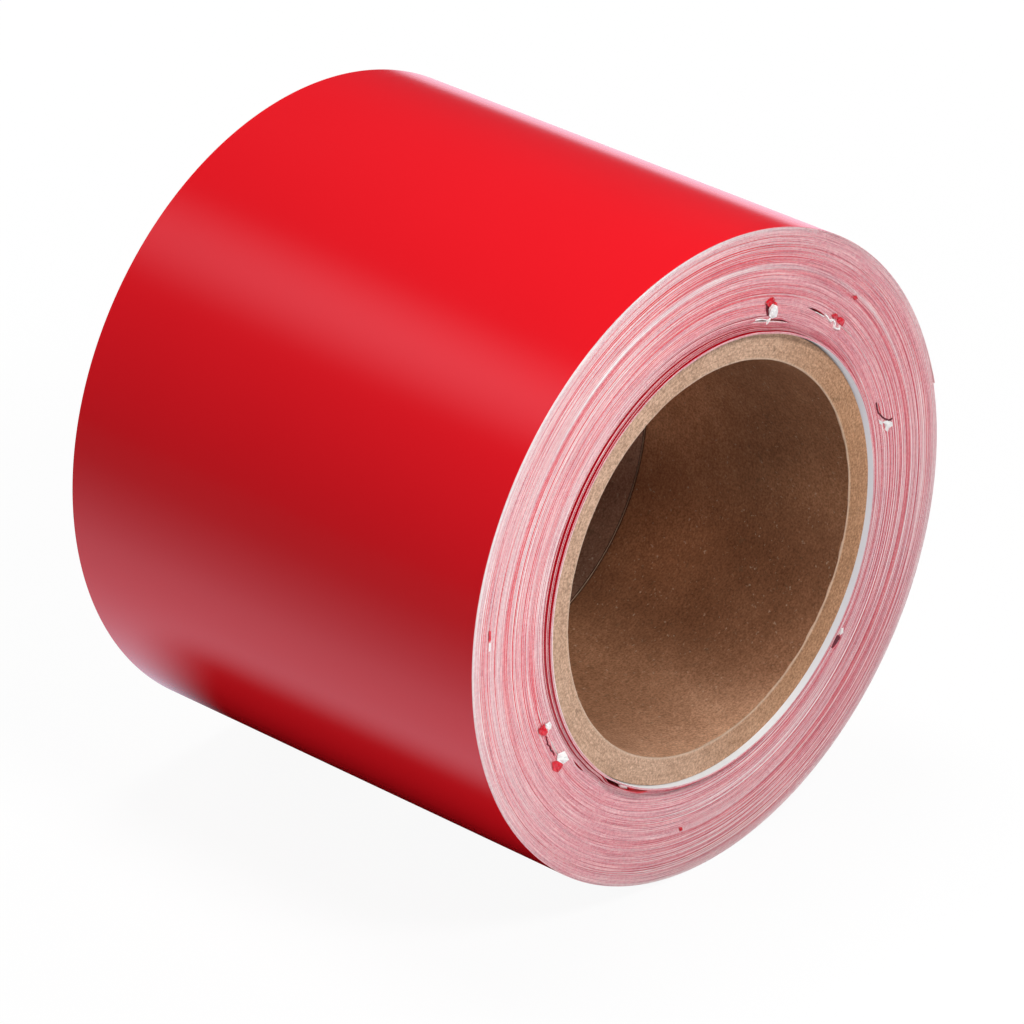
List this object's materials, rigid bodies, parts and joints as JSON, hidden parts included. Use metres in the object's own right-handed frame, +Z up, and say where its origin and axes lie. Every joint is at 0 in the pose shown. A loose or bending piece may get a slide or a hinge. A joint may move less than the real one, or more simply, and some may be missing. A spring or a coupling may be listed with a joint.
{
  "type": "roll of sign vinyl",
  "caption": "Roll of glossy red adhesive sign vinyl on white release liner, wound on a paperboard core, with a free tail that lifts off and film that peels from its liner.",
  "frame": {"origin": "middle of the core's bore, on the roll's axis at mid width", "axes": "+Y along the roll's axis from its front end to its back end, +X to the right seen from the front end, +Z up; the roll lies on its side"},
  "size_m": [0.1256, 0.1034, 0.1258],
  "materials": {
    "vinyl_film": "gloss",
    "release_liner": "satin",
    "coreboard": "matte",
    "start_tape": "matte",
    "slit_edge_slivers": "satin"
  },
  "bodies": {
    "roll": {"core_front_ply_1": "coreboard", "core_front_ply_2": "coreboard", "core_front_ply_3": "coreboard", "core_front_ply_4": "coreboard", "core_front_ply_5": "coreboard", "core_front_ply_6": "coreboard", "core_back_ply_1": "coreboard", "core_back_ply_2": "coreboard", "core_back_ply_3": "coreboard", "core_back_ply_4": "coreboard", "core_back_ply_5": "coreboard", "core_back_ply_6": "coreboard", "core_start_tape": "start_tape", "liner_winding": "release_liner", "film_winding": "vinyl_film", "edge_slivers": "slit_edge_slivers"},
    "tail_1": {"liner_tail_1": "release_liner", "film_tail_1": "vinyl_film"},
    "tail_2": {"liner_tail_2": "release_liner", "film_tail_2": "vinyl_film"},
    "tail_3": {"liner_tail_3": "release_liner", "film_tail_3": "vinyl_film"},
    "tail_4": {"liner_tail_4": "release_liner", "film_tail_4": "vinyl_film"},
    "peel_1": {"film_peel_1": "vinyl_film"},
    "peel_2": {"film_peel_2": "vinyl_film"},
    "peel_tip": {"film_tip": "vinyl_film"}
  },
  "joints": [
    {"name": "tail_lift", "type": "hinge", "parent": "roll", "child": "tail_1", "pos_m": [-0.01367, 0, 0.06164], "axis": [0, -1, 0], "range_deg": [0, 20]},
    {"name": "tail_bend_2", "type": "hinge", "parent": "tail_1", "child": "tail_2", "pos_m": [0.00611, 0, 0.06285], "axis": [0, -1, 0], "range_deg": [0, 20]},
    {"name": "tail_bend_3", "type": "hinge", "parent": "tail_2", "child": "tail_3", "pos_m": [0.0253, 0, 0.05789], "axis": [0, -1, 0], "range_deg": [0, 20]},
    {"name": "tail_bend_4", "type": "hinge", "parent": "tail_3", "child": "tail_4", "pos_m": [0.04201, 0, 0.04724], "axis": [0, -1, 0], "range_deg": [0, 20]},
    {"name": "film_peel", "type": "hinge", "parent": "tail_4", "child": "peel_1", "pos_m": [0.04785, 0, 0.04136], "axis": [0, -1, 0], "range_deg": [0, 38]},
    {"name": "film_curl_2", "type": "hinge", "parent": "peel_1", "child": "peel_2", "pos_m": [0.05405, 0, 0.0329], "axis": [0, -1, 0], "range_deg": [0, 38]},
    {"name": "film_curl_3", "type": "hinge", "parent": "peel_2", "child": "peel_tip", "pos_m": [0.05877, 0, 0.02353], "axis": [0, -1, 0], "range_deg": [0, 38]}
  ],
  "couplings": [
    {"joint": "tail_bend_2", "follows": "tail_lift", "ratio": 1},
    {"joint": "tail_bend_3", "follows": "tail_lift", "ratio": 1},
    {"joint": "tail_bend_4", "follows": "tail_lift", "ratio": 1},
    {"joint": "film_curl_2", "follows": "film_peel", "ratio": 1},
    {"joint": "film_curl_3", "follows": "film_peel", "ratio": 1}
  ]
}
